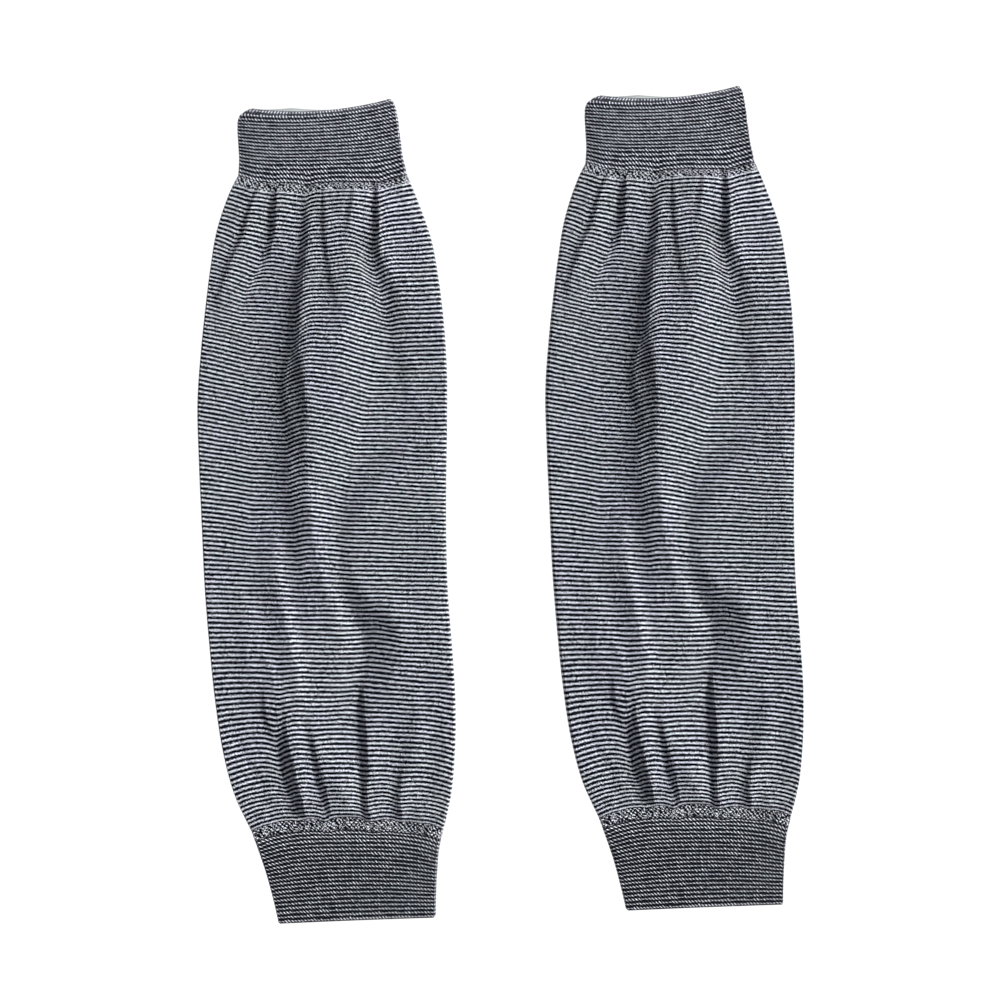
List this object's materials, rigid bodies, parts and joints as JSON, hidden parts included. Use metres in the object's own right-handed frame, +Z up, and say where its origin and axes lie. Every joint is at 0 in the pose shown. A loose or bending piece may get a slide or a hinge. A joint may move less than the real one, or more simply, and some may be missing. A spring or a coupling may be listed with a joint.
{
  "type": "pair of arm sleeves",
  "caption": "Pair of knitted over-sleeves lying flat: each a loose, finely striped tube gathered at both ends into a snug elastic knit cuff.",
  "frame": {"origin": "centre of the pair's footprint, on the surface that it lies on", "axes": "+Y along the sleeves towards the upper cuffs, +X to the right seen from above, +Z up out of the front panels"},
  "size_m": [0.2782, 0.3846, 0.013],
  "materials": {
    "upper_cuff_knit": "elastic knit of navy and white yarn, matt, in fine flecked rows",
    "body_knit": "fine single knit with narrow navy and white stripes round the arm, matt and soft",
    "lower_cuff_knit": "elastic knit of navy and white yarn, darker, matt, in fine flecked rows"
  },
  "bodies": {
    "root": {"left_upper_cuff": "upper_cuff_knit", "left_body": "body_knit", "left_lower_cuff": "lower_cuff_knit", "right_upper_cuff": "upper_cuff_knit", "right_body": "body_knit", "right_lower_cuff": "lower_cuff_knit"}
  },
  "joints": []
}
